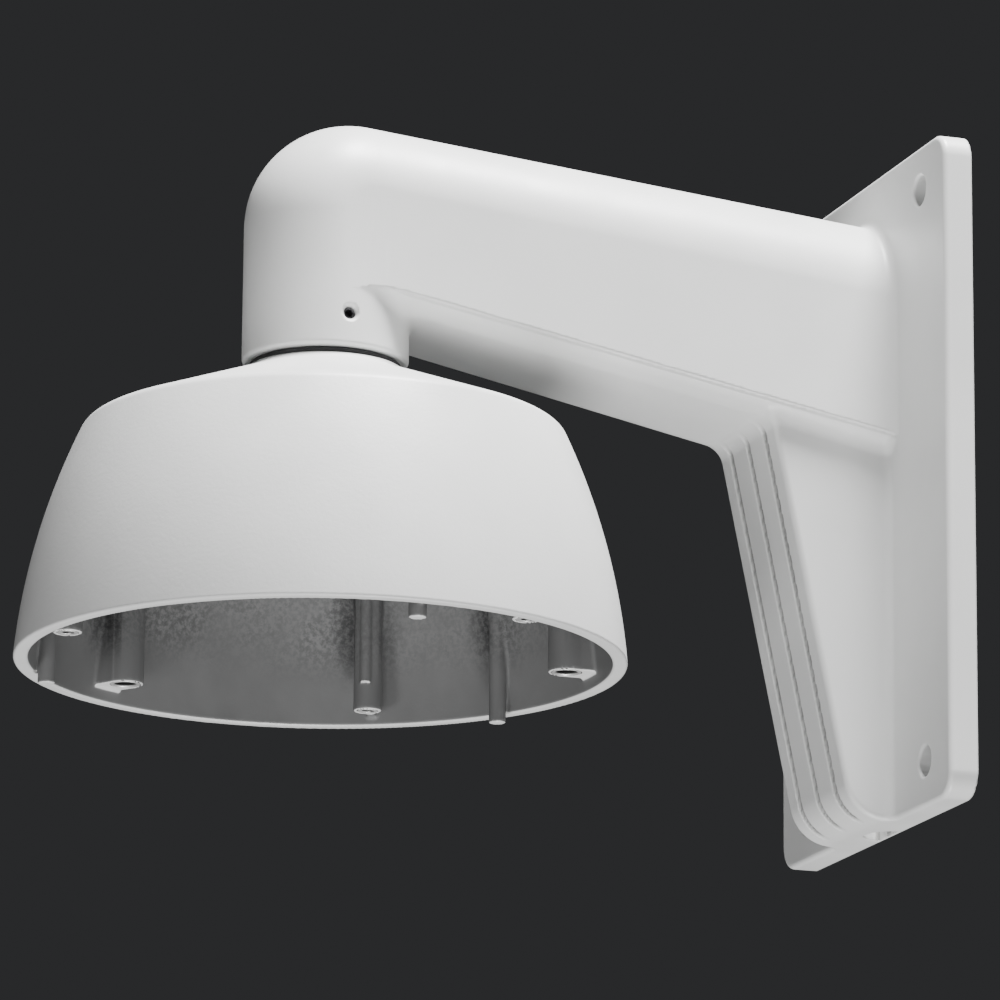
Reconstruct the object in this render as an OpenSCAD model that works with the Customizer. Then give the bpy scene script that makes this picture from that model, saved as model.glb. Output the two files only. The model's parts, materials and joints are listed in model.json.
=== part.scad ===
/* [Wall plate] */
// Width of the wall plate, left to right
plate_w = 120; // [110:1:130]
// Height of the wall plate
plate_h = 182.6; // [178:0.2:190]
// Thickness of the wall plate
plate_t = 8.3; // [7:0.1:10]
// Corner radius of the wall plate
plate_corner_r = 7; // [4:0.5:10]
// Distance between bolt holes, left to right
bolt_dx = 85.6; // [82:0.2:90]
// Distance between bolt holes, bottom to top
bolt_dz = 158; // [150:0.5:160]
// Radius of a bolt hole
bolt_hole_r = 4.2; // [3.5:0.1:4.5]
// Wall thickness of both castings
wall_t = 4; // [3.5:0.1:4.2]

/* [Arm] */
// Distance from the wall to the axis of the head
head_reach = 163.1; // [158:0.1:170]
// Outer radius of the head
head_r = 22.4; // [22:0.1:23]
// Height of the lower edge of the head above the plate's centre
head_z = 25.7; // [24:0.1:27]
// Height of the centre of the elbow's bend
bend_z = 63.5; // [62:0.1:65]
// Centreline radius of the elbow's bend
bend_r = 6.6; // [6:0.1:7]
// Half width of the arm where it meets the wall
arm_wall_r = 25.7; // [25:0.1:27]
// Drop of the arm's centreline for each millimetre towards the wall
arm_slope = 0.113; // [0.1:0.001:0.12]
// Height of the arm's lower side edge at the wall
side_edge_z = 12.9; // [11:0.1:14]
// Rise of the arm's underside for each millimetre away from the wall
belly_slope = 0.193; // [0.18:0.001:0.2]
// Depth of the arm's belly below its lower side edge
belly_drop = 3.2; // [2.5:0.1:4]
// Width of the slanted strip between the side edge and the belly
belly_bevel = 4.6; // [3:0.1:6]

/* [Gusset] */
// Width of the gusset below the arm
gusset_w = 41.4; // [40:0.2:43]
// Reach of the gusset's front face at the height of the plate's centre
gusset_reach = 38.75; // [36:0.05:40]
// Reach that the front face gains for each millimetre upwards
gusset_slope = 0.2065; // [0.19:0.0005:0.22]
// Radius between the gusset's front face and its bottom
gusset_foot_r = 12; // [10:0.5:14]
// Radius of the fillet between the gusset and the arm
gusset_fillet_r = 6; // [4:0.5:8]
// Distance between the grooves in the gusset's front face
groove_pitch = 12.5; // [11:0.1:13]
// Width of a groove
groove_w = 2.6; // [2:0.1:4]
// Depth of a groove
groove_depth = 1.4; // [1:0.1:1.5]
// Radius of the half-round cable notch in the bottom
notch_r = 7.5; // [6:0.5:8]
// Thickness of the skin that closes the notch at the wall until it is broken out
notch_skin = 0.8; // [0.6:0.1:1.2]

/* [Pendant cap] */
// Height of the cap's rim above the plate's centre
rim_z = -56.6; // [-58:0.1:-55]
// Outer radius of the rim
rim_r = 81.35; // [80:0.05:83]
// Radius of the arc that the cap's side follows
side_arc_r = 185.6; // [180:0.1:190]
// How far below the rim the centre of that arc lies
side_arc_drop = 15.7; // [15:0.1:17]
// Outer radius of the shoulder
shoulder_r = 64.4; // [63:0.1:66]
// Fall of the cap's top for each millimetre outwards
top_slope = 0.376; // [0.36:0.002:0.39]
// Outer radius of the collar around the neck
collar_r = 21.4; // [21:0.1:24]
// Height of the top of the collar
collar_z = 23.8; // [23:0.1:24]
// Radius of the circle that the camera's screws lie on
screw_circle_r = 70; // [69:0.1:71]
// Radius of the circle that the guide posts lie on
post_circle_r = 74.3; // [73.5:0.1:74.5]
// Angle of the first guide post from the +X direction
post_angle = 2; // [0:1:10]

/* [Neck and small parts] */
// Outer radius of the threaded neck
neck_r = 16.5; // [16:0.1:16.6]
// Radius of the cable passage through the neck
neck_bore_r = 12.5; // [11:0.1:13]
// Radius of the locking screw at the root of its thread
set_screw_r = 1.65; // [1.6:0.01:1.7]
// Length of the locking screw
set_screw_len = 4; // [3:0.1:4.5]
// Height of the locking screw above the plate's centre
set_screw_z = 34.8; // [34:0.1:36]

/* [Hidden] */
$fn = 96;
// Thickness of the slices that the belly is stretched between
eps = 0.01;
// Overshoot of a cut past the surface that it opens
over = 1;
// Clearance of the locking screw in its hole
run_gap = 0.05;
// Half the gap between pieces that move against each other
body_gap = 0.15;

// Wall plate details
rim_w = 7;
pocket_depth = 4.1;
gasket_w = 3;
gasket_t = 1.5;
gasket_inset = 2;
bolt_boss_r = 9;
rib_w = 3;
bolt_mouth = 0.7;
// Block in front of the wall that the whole casting is trimmed to
trim_w = 200;
trim_reach = 300;
trim_low = -100;
trim_h = 220;

// Arm
arm_tilt = atan(arm_slope);
turn = 90 + arm_tilt;
bend_reach = head_reach - bend_r;
arm_end_reach = bend_reach - bend_r * sin(arm_tilt);
arm_end_z = bend_z + bend_r * cos(arm_tilt);
arm_wall_z = arm_end_z - arm_slope * arm_end_reach;
arm_len = sqrt(pow(arm_end_reach, 2) + pow(arm_end_z - arm_wall_z, 2));
head_bore_r = neck_r + 0.1;
thread_top_z = 45;
chamber_r = head_r - wall_t;
// The duct's round top is this much thinner than its flat sides
duct_step = 0.1;
// How far the arm and its duct run past the wall plane before they are trimmed
arm_past = 3;
duct_past = 8;
// Height range that the arm's plan is drawn over
plan_low = -60;
plan_h = 200;

// Gusset: centre of the foot's arc and of the fillet under the arm
front_len = sqrt(1 + pow(gusset_slope, 2));
belly_len = sqrt(1 + pow(belly_slope, 2));
belly_z = side_edge_z - belly_drop;
foot_z = -plate_h / 2 + gusset_foot_r;
foot_reach = gusset_reach + gusset_slope * foot_z - gusset_foot_r * front_len;
fillet_reach = (gusset_reach + gusset_fillet_r * front_len
    + gusset_slope * (belly_z - gusset_fillet_r * belly_len)) / (1 - gusset_slope * belly_slope);
fillet_z = belly_z - gusset_fillet_r * belly_len + belly_slope * fillet_reach;
groove_foot_angle = 68;
// How far the grooves' outline stands off the gusset's front
groove_clear = 20;
// How far the gusset runs up into the arm
gusset_rise = 8;
// Mouth of the locking screw's hole
mouth_depth = 0.8;
mouth_h = 1;
mouth_flare = 0.9;

// Cap
side_centre_z = rim_z - side_arc_drop;
side_centre_r = rim_r - sqrt(pow(side_arc_r, 2) - pow(side_arc_drop, 2));
shoulder_z = side_centre_z + sqrt(pow(side_arc_r, 2) - pow(shoulder_r - side_centre_r, 2));
inner_shoulder_r = shoulder_r - wall_t;
inner_arc_r = side_arc_r - wall_t;
inner_shoulder_z = side_centre_z
    + sqrt(pow(inner_arc_r, 2) - pow(inner_shoulder_r - side_centre_r, 2));
hub_r = 28;
hub_z = 14;
side_steps = 14;

// Bosses inside the cap
thread_boss_r = 3.9;
thread_boss_lift = 2.5;
bush_boss_r = 5;
bush_boss_lift = 4;
post_r = 2.35;
post_drop = 3;
front_rib_r = 1.5;
front_rib_lift = 10;
insert_r = 2.75;
insert_bore_r = 1.8;
insert_len = 10;
bush_r = 4;
bush_bore_r = 3;
bush_len = 12;
thread_turn = 30;
bush_turn = 90;
thread_web_w = 2.5;
web_len = 20;
// How far the columns run up into the top, and the block that trims them hangs below the rim
column_rise = 8;
envelope_drop = 10;

// Neck stack inside the cap
neck_bottom_z = 4;
neck_top_z = 43;
washer_t = 1.5;
washer_r = 25;
nut_t = 6;
nut_across_flats = 46;
anchor_reach = 44;
anchor_angle = 62;
anchor_boss_r = 4.5;
anchor_boss_z = 4;
anchor_boss_h = 8;
anchor_hole = 6;
anchor_screw_r = 1.95;
anchor_screw_len = 6.5;
anchor_head_r = 3.6;
anchor_head_t = 2.4;
anchor_washer_r = 4.5;
anchor_washer_t = 0.8;
anchor_slot = 4;
anchor_slot_w = 0.8;
anchor_slot_depth = 1.2;

// Seal and locking screw
seal_w = 4;
socket_af = 2;
socket_depth = 2;

function front_at(z) = gusset_reach + gusset_slope * z;
// Where the gusset's front and the arm's belly meet, with both set back by depth
function front_belly_corner(depth) = let (
    front = gusset_reach - depth * front_len,
    belly = belly_z + depth * belly_len,
    reach = (front + gusset_slope * belly) / (1 - gusset_slope * belly_slope))
    [reach, belly + belly_slope * reach];
function top_at(r) = shoulder_z + (shoulder_r - r) * top_slope;
function arc_point(radius, angle) =
    [side_centre_r + radius * cos(angle), side_centre_z + radius * sin(angle)];
function side_arc(radius, low_z, high_z) = let (
    low = asin((low_z - side_centre_z) / radius),
    high = asin((high_z - side_centre_z) / radius))
    [for (i = [0 : side_steps]) arc_point(radius, low + (high - low) * i / side_steps)];

// Draws a side view, given as reach from the wall and height, and makes it as wide as asked
module side_view(width) {
    rotate([90, 0, -90]) linear_extrude(width, center = true) children();
}

module about_cap_axis(angle, radius, z) {
    translate([0, -head_reach, z]) rotate(angle) translate([radius, 0, 0]) children();
}

module rounded_rect(w, h, r) {
    square([w - 2 * r, h], center = true);
    square([w, h - 2 * r], center = true);
    for (x = [-1, 1], y = [-1, 1])
        translate([x * (w / 2 - r), y * (h / 2 - r)]) circle(r);
}

// Stands a front view on the wall, from depth a to depth b in front of it
module front_view(a, b) {
    translate([0, -a, 0]) rotate([90, 0, 0]) linear_extrude(b - a) children();
}

module at_bolts() {
    for (x = [-1, 1], z = [-1, 1])
        translate([x * bolt_dx / 2, 0, z * bolt_dz / 2]) rotate([90, 0, 0]) children();
}

module plate() {
    front_view(0, plate_t) rounded_rect(plate_w, plate_h, plate_corner_r);
}

// Hollow back of the plate, with bosses round the bolt holes and two cross ribs left standing
module plate_pocket() {
    difference() {
        front_view(-over, pocket_depth)
            rounded_rect(plate_w - 2 * rim_w, plate_h - 2 * rim_w, plate_corner_r - 3);
        at_bolts() translate([0, 0, -2 * over])
            cylinder(h = pocket_depth + 4 * over, r = bolt_boss_r);
        for (z = [-1, 1])
            translate([-plate_w / 2, -pocket_depth - over, z * plate_h / 6 - rib_w / 2])
                cube([plate_w, pocket_depth + 3 * over, rib_w]);
    }
}

module bolt_holes() {
    at_bolts() {
        translate([0, 0, -over]) cylinder(h = plate_t + 2 * over, r = bolt_hole_r);
        translate([0, 0, plate_t - bolt_mouth])
            cylinder(h = bolt_mouth + eps, r1 = bolt_hole_r, r2 = bolt_hole_r + bolt_mouth);
    }
}

// Round-topped tube along the arm, from the elbow to the wall, thinner by inset
module arm_tube(inset, past) {
    translate([0, -arm_end_reach, arm_end_z]) rotate([-turn, 0, 0])
        cylinder(h = arm_len + past, r1 = head_r - inset, r2 = arm_wall_r - inset);
}

// Plan view of the arm, thinner by inset
module arm_plan(inset, past) {
    translate([0, 0, plan_low]) linear_extrude(plan_h)
        polygon([[-arm_wall_r + inset, past], [arm_wall_r - inset, past],
            [head_r - inset, -arm_end_reach], [head_r - inset, -head_reach],
            [-head_r + inset, -head_reach], [-head_r + inset, -arm_end_reach]]);
}

// Slanted belly below the arm's side edges
module arm_belly() {
    hull() for (reach = [0, head_reach - head_r / 2]) {
        half = reach == 0 ? arm_wall_r : head_r;
        z = side_edge_z + belly_slope * reach;
        translate([0, -reach, 0]) rotate([90, 0, 0]) linear_extrude(eps)
            polygon([[-half, z], [-half + belly_bevel, z - belly_drop],
                [half - belly_bevel, z - belly_drop], [half, z]]);
    }
}

module elbow(r) {
    translate([0, -bend_reach, bend_z]) rotate([90, 0, -90]) rotate_extrude(angle = turn)
        intersection() {
            translate([bend_r, 0]) circle(r);
            translate([0, -r - over]) square(2 * (r + over) + bend_r);
        }
}

module arm() {
    arm_tube(0, arm_past);
    intersection() {
        arm_plan(0, 0);
        side_view(3 * head_r) polygon([[0, side_edge_z], [0, arm_wall_z],
            [arm_end_reach, arm_end_z], [head_reach, bend_z],
            [head_reach, side_edge_z + belly_slope * head_reach]]);
    }
    arm_belly();
    elbow(head_r);
    translate([0, -head_reach, head_z]) cylinder(h = bend_z - head_z, r = head_r);
}

module arm_hollow() {
    floor_z = belly_z + wall_t;
    arm_tube(wall_t + duct_step, duct_past);
    intersection() {
        arm_plan(wall_t, arm_past);
        side_view(3 * head_r) polygon([[-2 * over, floor_z], [-2 * over, arm_wall_z],
            [arm_end_reach, arm_end_z], [head_reach, bend_z], [head_reach, thread_top_z + over],
            [head_reach - head_bore_r, thread_top_z + over],
            [head_reach - head_r - wall_t, floor_z + belly_slope * (head_reach - head_r - wall_t)]]);
    }
    elbow(chamber_r);
    translate([0, -head_reach, thread_top_z])
        cylinder(h = bend_z - thread_top_z, r = chamber_r);
    translate([0, -head_reach, head_z - over])
        cylinder(h = thread_top_z - head_z + 2 * over, r = head_bore_r);
}

// Side outline of the gusset, its front, foot and fillet set back by depth
module gusset_outline(depth) {
    foot_r = gusset_foot_r - depth;
    fillet_r = gusset_fillet_r + depth;
    corner = front_belly_corner(depth);
    polygon([[0, foot_z - foot_r], [foot_reach, foot_z - foot_r], [foot_reach, foot_z],
        [foot_reach + foot_r / front_len, foot_z - foot_r * gusset_slope / front_len],
        corner, corner + [0, gusset_rise], [0, corner[1] + gusset_rise]]);
    translate([foot_reach, foot_z]) circle(foot_r);
    difference() {
        polygon([corner + [-over, over],
            [fillet_reach - fillet_r / front_len, fillet_z + fillet_r * gusset_slope / front_len],
            [fillet_reach, fillet_z],
            [fillet_reach - fillet_r * belly_slope / belly_len, fillet_z + fillet_r / belly_len]]);
        translate([fillet_reach, fillet_z]) circle(fillet_r);
    }
}

module gusset() {
    side_view(gusset_w) gusset_outline(0);
}

// Space inside the gusset, open at the back and up into the arm
module gusset_hollow() {
    low_z = -plate_h / 2 + wall_t;
    side_view(gusset_w - 2 * wall_t) polygon([[-2 * over, low_z],
        [foot_reach, low_z],
        [front_at(foot_z) - wall_t * front_len - over, foot_z],
        [front_at(0) - wall_t * front_len, 0],
        [front_at(belly_z) - wall_t * front_len, belly_z + wall_t],
        [front_at(belly_z) - wall_t * front_len, belly_z + 5 * wall_t],
        [-2 * over, belly_z + 5 * wall_t]]);
}

// One groove that follows the gusset from the fillet, down the front and round the foot
module groove() {
    top_run = gusset_fillet_r + 2 * groove_depth;
    corner = front_belly_corner(0);
    side_view(groove_w) difference() {
        polygon([[foot_reach, foot_z],
            [foot_reach + 3 * gusset_foot_r * cos(groove_foot_angle),
                foot_z - 3 * gusset_foot_r * sin(groove_foot_angle)],
            [corner[0] + groove_clear, foot_z], [fillet_reach, fillet_z],
            [fillet_reach - top_run * belly_slope / belly_len, fillet_z + top_run / belly_len],
            corner - [wall_t, 0]]);
        gusset_outline(groove_depth);
    }
}

// Ring under the plate's rim, open at the bottom round the cable notch
module gasket_ring() {
    inner = gasket_inset + gasket_w;
    difference() {
        rounded_rect(plate_w - 2 * gasket_inset, plate_h - 2 * gasket_inset,
            plate_corner_r - gasket_inset);
        rounded_rect(plate_w - 2 * inner, plate_h - 2 * inner, plate_corner_r - inner);
        translate([-notch_r - gasket_w, -plate_h / 2])
            square([2 * (notch_r + gasket_w), inner + over]);
    }
}

// Half-round space for a cable from below, open underneath and closed at the wall by a skin
module cable_notch() {
    notch_h = wall_t + 4 * over;
    intersection() {
        translate([0, 0, -plate_h / 2 - over]) cylinder(h = notch_h, r = notch_r);
        translate([-2 * notch_r, -2 * notch_r, -plate_h / 2 - over])
            cube([4 * notch_r, 2 * notch_r - notch_skin, notch_h]);
    }
}

module set_screw_hole() {
    translate([head_bore_r - over, -head_reach, set_screw_z]) rotate([0, 90, 0])
        cylinder(h = head_r, r = set_screw_r + run_gap);
    translate([head_r - mouth_depth, -head_reach, set_screw_z]) rotate([0, 90, 0])
        cylinder(h = mouth_h, r1 = set_screw_r + run_gap, r2 = set_screw_r + mouth_flare);
}

module wall_bracket() {
    color("whitesmoke") difference() {
        intersection() {
            union() {
                plate();
                arm();
                gusset();
            }
            translate([-trim_w / 2, -trim_reach, trim_low]) cube([trim_w, trim_reach, trim_h]);
        }
        plate_pocket();
        bolt_holes();
        arm_hollow();
        gusset_hollow();
        for (x = [-1 : 1]) translate([x * groove_pitch, 0, 0]) groove();
        front_view(-over, gasket_t) gasket_ring();
        cable_notch();
        set_screw_hole();
    }
}

module wall_gasket() {
    color("dimgray") front_view(0, gasket_t) gasket_ring();
}

module cap_profile() {
    polygon(concat(
        side_arc(side_arc_r, rim_z, shoulder_z),
        [[collar_r, top_at(collar_r)], [collar_r, collar_z], [neck_r, collar_z],
            [neck_r, hub_z], [hub_r, hub_z], [hub_r, top_at(hub_r) - wall_t],
            [inner_shoulder_r, inner_shoulder_z]],
        [for (p = [side_steps : -1 : 0]) side_arc(inner_arc_r, rim_z, inner_shoulder_z)[p]]));
}

// Round column from height low up into the cap's side or top
module column(angle, radius, r, low) {
    about_cap_axis(angle, radius, low)
        cylinder(h = top_at(shoulder_r) - low + column_rise, r = r);
}

// Web between a boss and the cap's side
module web(angle, radius, width, low) {
    about_cap_axis(angle, radius, low) translate([0, -width / 2, 0])
        cube([web_len, width, top_at(shoulder_r) - low + column_rise]);
}

// Solid block of the cap's outer shape, to trim what stands inside it
module cap_envelope() {
    translate([0, -head_reach, 0]) rotate_extrude() polygon(concat(
        [[0, rim_z - envelope_drop], [rim_r - wall_t, rim_z - envelope_drop]],
        side_arc(side_arc_r - wall_t / 2, rim_z, shoulder_z - wall_t),
        [[hub_r, top_at(hub_r) - wall_t / 2], [0, top_at(hub_r) - wall_t / 2]]));
}

module pendant_cap() {
    color("gainsboro") difference() {
        union() {
            translate([0, -head_reach, 0]) rotate_extrude() cap_profile();
            intersection() {
                cap_envelope();
                for (i = [0 : 2]) {
                    post = post_angle + i * 120;
                    thread_z = rim_z + thread_boss_lift;
                    bush_z = rim_z + bush_boss_lift;
                    column(post, post_circle_r, post_r, rim_z - post_drop);
                    column(post + thread_turn, screw_circle_r, thread_boss_r, thread_z);
                    web(post + thread_turn, screw_circle_r, thread_web_w, thread_z);
                    column(post + thread_turn, screw_circle_r - thread_boss_r, front_rib_r,
                        rim_z + front_rib_lift);
                    column(post + bush_turn, screw_circle_r, bush_boss_r, bush_z);
                    web(post + bush_turn, screw_circle_r, 2 * bush_boss_r, bush_z);
                }
            }
            about_cap_axis(anchor_angle, anchor_reach, anchor_boss_z)
                cylinder(h = anchor_boss_h, r = anchor_boss_r);
        }
        for (i = [0 : 2]) {
            post = post_angle + i * 120;
            about_cap_axis(post + thread_turn, screw_circle_r, rim_z + thread_boss_lift - eps)
                cylinder(h = insert_len + 2 * over, r = insert_r);
            about_cap_axis(post + bush_turn, screw_circle_r, rim_z + bush_boss_lift - eps)
                cylinder(h = bush_len + 2 * over, r = bush_r);
        }
        about_cap_axis(anchor_angle, anchor_reach, anchor_boss_z - over)
            cylinder(h = anchor_hole + over, r = anchor_screw_r);
    }
}

module tube(outer_r, inner_r, h) {
    difference() {
        cylinder(h = h, r = outer_r);
        translate([0, 0, -over]) cylinder(h = h + 2 * over, r = inner_r);
    }
}

module threaded_neck() {
    color("silver") translate([0, -head_reach, neck_bottom_z])
        tube(neck_r, neck_bore_r, neck_top_z - neck_bottom_z);
}

module neck_washer() {
    color("dimgray") translate([0, -head_reach, hub_z - washer_t]) tube(washer_r, neck_r, washer_t);
}

module neck_locknut() {
    color("silver") translate([0, -head_reach, hub_z - washer_t - nut_t]) difference() {
        cylinder(h = nut_t, r = nut_across_flats / 2 / cos(30), $fn = 6);
        translate([0, 0, -over]) cylinder(h = nut_t + 2 * over, r = neck_r);
    }
}

module neck_seal() {
    color("black") translate([0, -head_reach, collar_z + body_gap])
        tube(neck_r + seal_w, neck_r + body_gap, head_z - collar_z - 2 * body_gap);
}

module set_screw() {
    color("black") translate([neck_r + 2 * body_gap, -head_reach, set_screw_z]) rotate([0, 90, 0])
        difference() {
            cylinder(h = set_screw_len, r = set_screw_r);
            translate([0, 0, set_screw_len - socket_depth])
                cylinder(h = socket_depth + over, r = socket_af / 2 / cos(30), $fn = 6);
        }
}

module anchor_washer() {
    color("silver") about_cap_axis(anchor_angle, anchor_reach, anchor_boss_z - anchor_washer_t)
        tube(anchor_washer_r, anchor_screw_r, anchor_washer_t);
}

module anchor_screw() {
    head_low = anchor_boss_z - anchor_washer_t - anchor_head_t;
    color("silver") about_cap_axis(anchor_angle, anchor_reach, 0) difference() {
        union() {
            translate([0, 0, anchor_boss_z - anchor_washer_t])
                cylinder(h = anchor_screw_len, r = anchor_screw_r);
            translate([0, 0, head_low]) cylinder(h = anchor_head_t, r = anchor_head_r);
        }
        for (a = [0, 90]) rotate(a)
            translate([-anchor_slot / 2, -anchor_slot_w / 2, head_low - over])
                cube([anchor_slot, anchor_slot_w, anchor_slot_depth + over]);
    }
}

module thread_insert(i) {
    angle = post_angle + thread_turn + i * 120;
    color("silver") about_cap_axis(angle, screw_circle_r, rim_z + thread_boss_lift)
        tube(insert_r, insert_bore_r, insert_len);
}

module camera_bush(i) {
    angle = post_angle + bush_turn + i * 120;
    color("silver") about_cap_axis(angle, screw_circle_r, rim_z + bush_boss_lift)
        tube(bush_r, bush_bore_r, bush_len);
}

wall_bracket();
wall_gasket();
pendant_cap();
threaded_neck();
neck_locknut();
neck_washer();
neck_seal();
set_screw();
anchor_screw();
anchor_washer();
thread_insert(0);  // thread_insert_1
thread_insert(1);  // thread_insert_2
thread_insert(2);  // thread_insert_3
camera_bush(0);  // camera_bush_1
camera_bush(1);  // camera_bush_2
camera_bush(2);  // camera_bush_3
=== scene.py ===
import json
import math

import bpy
import numpy as np
from mathutils import Matrix, Vector


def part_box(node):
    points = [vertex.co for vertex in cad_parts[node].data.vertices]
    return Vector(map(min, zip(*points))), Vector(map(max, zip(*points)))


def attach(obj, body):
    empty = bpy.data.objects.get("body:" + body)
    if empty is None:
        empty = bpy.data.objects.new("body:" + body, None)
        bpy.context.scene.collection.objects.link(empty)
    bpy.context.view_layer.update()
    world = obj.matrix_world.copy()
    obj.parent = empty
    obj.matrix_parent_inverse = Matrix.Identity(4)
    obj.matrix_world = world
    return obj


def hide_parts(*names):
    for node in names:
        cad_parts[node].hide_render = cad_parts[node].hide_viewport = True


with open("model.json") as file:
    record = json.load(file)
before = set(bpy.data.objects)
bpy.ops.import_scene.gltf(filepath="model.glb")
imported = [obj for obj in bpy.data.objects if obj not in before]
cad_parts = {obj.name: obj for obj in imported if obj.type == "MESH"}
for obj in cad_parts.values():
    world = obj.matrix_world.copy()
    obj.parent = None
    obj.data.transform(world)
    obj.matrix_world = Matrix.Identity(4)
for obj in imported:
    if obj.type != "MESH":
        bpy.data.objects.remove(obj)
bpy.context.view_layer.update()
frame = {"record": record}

MM = 0.001
WALL = 4.0
FAR = 99.0

# ---------------------------------------------------------------- sizes, in millimetres
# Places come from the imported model: boxes from its nodes, and from its mounts the holes' sizes
# and spacings and the rim's height. The rest are the castings' own dimensions.


def node_box(name):
    low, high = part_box(name)
    return np.array(low) / MM, np.array(high) / MM


mounts = {m["name"]: m for m in frame["record"]["mounts"]}
wall_bolts = mounts["wall_bolts"]["dims"]
camera_screws = mounts["camera_screws"]["dims"]
camera_bushes = mounts["camera_bushes"]["dims"]
bracket_low, bracket_high = node_box("wall_bracket")
cap_low, cap_high = node_box("pendant_cap")
gasket_low, gasket_high = node_box("wall_gasket")
neck_low, neck_high = node_box("threaded_neck")
nut_low, nut_high = node_box("neck_locknut")
washer_low, washer_high = node_box("neck_washer")
seal_low, seal_high = node_box("neck_seal")
screw_low, screw_high = node_box("set_screw")
anchor_low, anchor_high = node_box("anchor_screw")
anchor_washer_low, anchor_washer_high = node_box("anchor_washer")

# The wall plate
plate_half_w = bracket_high[0]
plate_half_h = -bracket_low[2]
plate_t = 8.3
plate_corner = 7.0
plate_edge, plate_fillet = 1.4, 2.6
bolt_x, bolt_z = wall_bolts["spacing_x_mm"] / 2, wall_bolts["spacing_y_mm"] / 2
bolt_r = wall_bolts["hole_r_mm"]
bolt_boss_r = 9.0
pocket_depth = 4.1
pocket_rim, pocket_corner = 7.0, 4.0
pocket_rib_half_w = 1.5
gasket_outer_in, gasket_inner_in = 2, 5
gasket_clear = 3
notch_r = 7.5
notch_skin = 0.8

# The arm and the head
head_reach = -(cap_low[1] + cap_high[1]) / 2
head_r = -bracket_low[1] - head_reach
head_z = 25.7
head_edge, head_fillet = 1.3, 2.6
bend_z = 63.47
bend_r = 6.6
arm_wall_r = 25.7
arm_slope = 0.113
side_edge_z, side_edge_r = 12.9, 0.6
belly_slope = 0.193
belly_drop = 3.2
belly_bevel = 4.6
belly_edge_r = 11.0
edge_step, edge_step_r = 0.25, 0.3
crease_r, crease_edge = 0.85, 0.4
crease_in, crease_up = 0.15, 0.35
crease_gap, crease_run = 6, 12

# The gusset and its grooves
gusset_half_w = 20.7
gusset_reach = 38.75
gusset_slope = 0.2065
gusset_edge = 1.6
gusset_sunk = 20
gusset_side_fillet, gusset_front_fillet, gusset_front_lean = 3.0, 6.0, 0.384
foot_r = 12.0
groove_pitch = 12.5
groove_half_w = 1.3
groove_depth = 1.4
groove_lift = 1.0
groove_floor_r, groove_lip_r = 0.7, 0.35
groove_top, groove_top_run = 2.8, 7.3
groove_foot, groove_arm, groove_run = 10.4, 22, 8

# The spaces inside the bracket, and the radii of their edges
duct_narrower = 1
duct_fillet = 2.0
thread_top_z = 45.0
head_bore_r = 16.6
set_screw_z = (screw_low[2] + screw_high[2]) / 2
set_hole_r = 1.7
set_hole_start = 10
duct_edge, pocket_edge, bolt_edge, back_edge = 0.8, 0.6, 0.8, 0.5
seat_edge, notch_edge, bore_edge, set_hole_edge = 0.2, 0.5, 0.6, 0.15

# The cap. shoulder_lean is how far its side and top lean together where they meet.
rim_z = mounts["cap_rim"]["pos_m"][2] / MM
rim_r = (cap_high[0] - cap_low[0]) / 2
rim_edge, mouth_edge = 0.8, 0.9
side_arc_r = 185.6
side_arc_drop = 15.7
shoulder_r = 64.4
shoulder_edge, shoulder_inner_edge, shoulder_lean = 4.0, 3.0, 0.717
top_slope = 0.376
collar_r = 21.4
collar_z = cap_high[2]
collar_edge, collar_fillet = 0.9, 3.0
hub_r = 28.0
hub_z = washer_high[2]
hub_edge = 1.5
neck_r = (neck_high[0] - neck_low[0]) / 2
neck_bore_r = mounts["cable_bore"]["dims"]["r_mm"]

# The columns inside the cap
screw_circle_r = camera_screws["pcd_mm"] / 2
post_circle_r = 74.3
post_angle = 2.0
thread_turn, bush_turn = math.radians(30), math.radians(90)
thread_boss_r, thread_boss_lift, thread_web = 3.9, 2.5, 1.25
bush_boss_r, bush_boss_lift = 5.0, 4.0
post_r, post_drop = 2.35, 3.0
front_rib_r, front_rib_lift = 1.5, 10.0
web_fillet, rib_fillet, column_fillet, column_edge = 0.6, 0.5, 1.2, 0.6
insert_r, insert_bore_r, insert_len = 2.75, camera_screws["hole_r_mm"], 10.0
bush_r, bush_bore_r, bush_len = 4.0, camera_bushes["hole_r_mm"], 12.0
lug_x, lug_y = (anchor_low[:2] + anchor_high[:2]) / 2
lug_r, lug_edge = 4.5, 0.4

# Threads and drives
pipe_pitch = 2.309
pipe_depth = 1.1
nut_flats = nut_high[1] - nut_low[1]
m4_r, m4_pitch, m4_depth = 1.95, 0.7, 0.3
anchor_thread_depth = 0.32
anchor_head_h, anchor_dome_r = 2.4, 1.3
cross_half_len, cross_half_w, cross_depth = 2, 0.4, 1.2
cross_turn = math.radians(62)
socket_half_w, socket_depth = 1.0, 2

# Derived places of the arm
tilt = math.atan(arm_slope)
bend_reach = head_reach - bend_r
arm_end_reach = bend_reach - bend_r * math.sin(tilt)
arm_end_z = bend_z + bend_r * math.cos(tilt)
arm_len = arm_end_reach / math.cos(tilt)
belly_len = math.hypot(1, belly_slope)
strip_len = math.hypot(belly_drop, belly_bevel)
front_len = math.hypot(1, gusset_slope)

# Derived places of the cap
side_centre_z = rim_z - side_arc_drop
side_centre_r = rim_r - math.sqrt(side_arc_r ** 2 - side_arc_drop ** 2)
shoulder_z = side_centre_z + math.sqrt(side_arc_r ** 2 - (shoulder_r - side_centre_r) ** 2)
top_len = math.hypot(1, top_slope)


# ---------------------------------------------------------------- solid shapes as distances
# A shape is a function that is negative inside, positive outside, and near the surface gives
# the distance to it in millimetres.


def length(*parts):
    return np.sqrt(sum(p * p for p in parts))


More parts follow.
